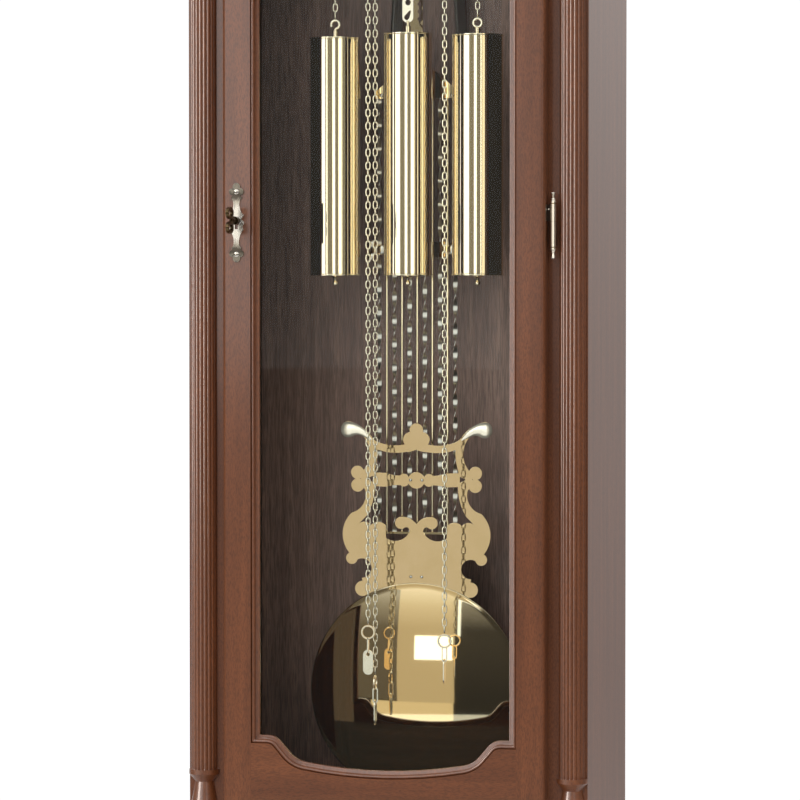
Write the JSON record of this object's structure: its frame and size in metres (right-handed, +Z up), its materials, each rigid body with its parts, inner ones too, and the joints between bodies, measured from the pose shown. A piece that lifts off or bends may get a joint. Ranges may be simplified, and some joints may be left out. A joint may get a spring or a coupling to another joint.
{
  "type": "mora clock",
  "caption": "Dark wood floor clock with a glazed door, reeded columns, brass weights on chains, a lyre pendulum, dial, hands and chime rods",
  "frame": {"origin": "floor level, under the middle of the clock's bounding box", "axes": "+Z up, the clock faces -Y, +X to the right seen from the front"},
  "size_m": [0.528, 0.333, 2.05],
  "materials": {
    "case_wood": "dark mahogany stain under satin lacquer",
    "inner_wood": "dark stained veneer, satin",
    "door_glass": "clear polished",
    "bright_brass": "mirror polished",
    "lacquered_brass": "polished and lacquered",
    "dial_metal": "brushed, silvered ring",
    "dark_steel": "blued, nearly black",
    "bright_steel": "nickel plated",
    "block_iron": "dark painted iron",
    "antique_bronze": "antiqued, satin"
  },
  "bodies": {
    "case": {"plinth_front": "case_wood", "plinth_carcass": "inner_wood", "plinth_top": "case_wood", "base_moulding": "case_wood", "waist_moulding": "case_wood", "side_left": "case_wood", "side_right": "case_wood", "back_panel": "inner_wood", "face_frame": "case_wood", "top_board": "inner_wood", "cornice": "case_wood", "pediment": "case_wood", "seat_rails": "inner_wood", "columns": "case_wood", "movement_frame": "lacquered_brass", "dial": "dial_metal", "chime_block": "block_iron", "chime_rods": "bright_steel", "hinge_pins": "antique_bronze"},
    "door": {"door_stile_left": "case_wood", "door_stile_right": "case_wood", "door_rail_bottom": "case_wood", "door_rail_top": "case_wood", "glazing_bead": "case_wood", "door_glass": "door_glass", "escutcheon": "antique_bronze", "lock_case": "dark_steel", "hinge_leaves": "antique_bronze"},
    "key_set": {"key": "antique_bronze", "lock_cam": "dark_steel"},
    "pendulum": {"pendulum_leader": "lacquered_brass", "pendulum_rods": "bright_brass", "pendulum_spirals": "bright_steel", "pendulum_brackets": "lacquered_brass", "pendulum_lyre": "lacquered_brass", "pendulum_bob": "bright_brass"},
    "nut": {"rating_nut": "lacquered_brass"},
    "escapement": {"anchor": "dark_steel"},
    "minute_work": {"centre_wheel": "lacquered_brass", "minute_hand": "dark_steel"},
    "hour_work": {"hour_hand": "dark_steel"},
    "third_arbor": {"third_wheel": "lacquered_brass"},
    "escape_arbor": {"escape_wheel": "lacquered_brass"},
    "strike_left": {"hammers_left": "bright_steel"},
    "strike_right": {"hammers_right": "bright_steel"},
    "weight_left_drop": {"weight_left": "bright_brass", "chain_fall_left": "lacquered_brass"},
    "pull_left_drop": {"chain_pull_left": "lacquered_brass", "chain_tail_left": "lacquered_brass"},
    "drive_left": {"chain_wheel_left": "lacquered_brass"},
    "weight_centre_drop": {"weight_centre": "bright_brass", "chain_fall_centre": "lacquered_brass"},
    "pull_centre_drop": {"chain_pull_centre": "lacquered_brass", "chain_tail_centre": "lacquered_brass"},
    "drive_centre": {"chain_wheel_centre": "lacquered_brass"},
    "weight_right_drop": {"weight_right": "bright_brass", "chain_fall_right": "lacquered_brass"},
    "pull_right_drop": {"chain_pull_right": "lacquered_brass", "chain_tail_right": "lacquered_brass"},
    "drive_right": {"chain_wheel_right": "lacquered_brass"}
  },
  "joints": [
    {"name": "door_swing", "type": "hinge", "parent": "case", "child": "door", "pos_m": [0.1792, -0.1155, 1.071], "axis": [0, 0, 1], "range_deg": [0, 110]},
    {"name": "key_turn", "type": "hinge", "parent": "door", "child": "key_set", "pos_m": [-0.1564, -0.1245, 1.0775], "axis": [0, 1, 0], "range_deg": [0, 90]},
    {"name": "pendulum_swing", "type": "hinge", "parent": "case", "child": "pendulum", "pos_m": [0, 0.0555, 1.606], "axis": [0, 1, 0], "range_deg": [-3, 3]},
    {"name": "anchor_rock", "type": "hinge", "parent": "case", "child": "escapement", "pos_m": [0, 0.0255, 1.606], "axis": [0, 1, 0], "range_deg": [-3.2, 3.2]},
    {"name": "rating_nut_turn", "type": "hinge", "parent": "pendulum", "child": "nut", "pos_m": [0, 0.0575, 0.4448], "axis": [0, 0, 1], "continuous": true},
    {"name": "minute_turn", "type": "hinge", "parent": "case", "child": "minute_work", "pos_m": [0, -0.0745, 1.54], "axis": [0, 1, 0], "continuous": true},
    {"name": "hour_turn", "type": "hinge", "parent": "case", "child": "hour_work", "pos_m": [0, -0.0705, 1.54], "axis": [0, 1, 0], "continuous": true},
    {"name": "third_turn", "type": "hinge", "parent": "case", "child": "third_arbor", "pos_m": [0.02227, 0.0155, 1.56227], "axis": [0, 1, 0], "continuous": true},
    {"name": "escape_turn", "type": "hinge", "parent": "case", "child": "escape_arbor", "pos_m": [0, 0.0315, 1.57978], "axis": [0, 1, 0], "continuous": true},
    {"name": "hammers_left_lift", "type": "hinge", "parent": "case", "child": "strike_left", "pos_m": [-0.06, 0.1215, 1.54], "axis": [0, 1, 0], "range_deg": [-15, 0]},
    {"name": "hammers_right_lift", "type": "hinge", "parent": "case", "child": "strike_right", "pos_m": [0.06, 0.1215, 1.54], "axis": [0, 1, 0], "range_deg": [0, 15]},
    {"name": "weight_left_fall", "type": "slide", "parent": "case", "child": "weight_left_drop", "axis": [0, 0, -1], "range_m": [-0.06, 0.565], "deforming": ["chain_fall_left"]},
    {"name": "pull_left_rise", "type": "slide", "parent": "case", "child": "pull_left_drop", "axis": [0, 0, 1], "range_m": [-0.06, 0.565], "deforming": ["chain_tail_left"]},
    {"name": "chain_wheel_left_turn", "type": "hinge", "parent": "case", "child": "drive_left", "pos_m": [-0.06, -0.0005, 1.47], "axis": [0, 1, 0], "range_deg": [-1799, 191.5]},
    {"name": "weight_centre_fall", "type": "slide", "parent": "case", "child": "weight_centre_drop", "axis": [0, 0, -1], "range_m": [-0.06, 0.565], "deforming": ["chain_fall_centre"]},
    {"name": "pull_centre_rise", "type": "slide", "parent": "case", "child": "pull_centre_drop", "axis": [0, 0, 1], "range_m": [-0.06, 0.565], "deforming": ["chain_tail_centre"]},
    {"name": "chain_wheel_centre_turn", "type": "hinge", "parent": "case", "child": "drive_centre", "pos_m": [-0.018, 0.0085, 1.47], "axis": [0, 1, 0], "range_deg": [-191.5, 1799]},
    {"name": "weight_right_fall", "type": "slide", "parent": "case", "child": "weight_right_drop", "axis": [0, 0, -1], "range_m": [-0.06, 0.565], "deforming": ["chain_fall_right"]},
    {"name": "pull_right_rise", "type": "slide", "parent": "case", "child": "pull_right_drop", "axis": [0, 0, 1], "range_m": [-0.06, 0.565], "deforming": ["chain_tail_right"]},
    {"name": "chain_wheel_right_turn", "type": "hinge", "parent": "case", "child": "drive_right", "pos_m": [0.06, -0.0005, 1.47], "axis": [0, 1, 0], "range_deg": [-191.5, 1799]}
  ],
  "couplings": [
    {"joint": "anchor_rock", "follows": "pendulum_swing", "ratio": 1},
    {"joint": "hour_turn", "follows": "minute_turn", "ratio": 0.083333},
    {"joint": "third_turn", "follows": "minute_turn", "ratio": -8},
    {"joint": "escape_turn", "follows": "minute_turn", "ratio": 60},
    {"joint": "pull_left_rise", "follows": "weight_left_fall", "ratio": 1},
    {"joint": "chain_wheel_left_turn", "follows": "weight_left_fall", "rad_per_m": -55.556},
    {"joint": "pull_centre_rise", "follows": "weight_centre_fall", "ratio": 1},
    {"joint": "chain_wheel_centre_turn", "follows": "weight_centre_fall", "rad_per_m": 55.556},
    {"joint": "pull_right_rise", "follows": "weight_right_fall", "ratio": 1},
    {"joint": "chain_wheel_right_turn", "follows": "weight_right_fall", "rad_per_m": 55.556}
  ]
}
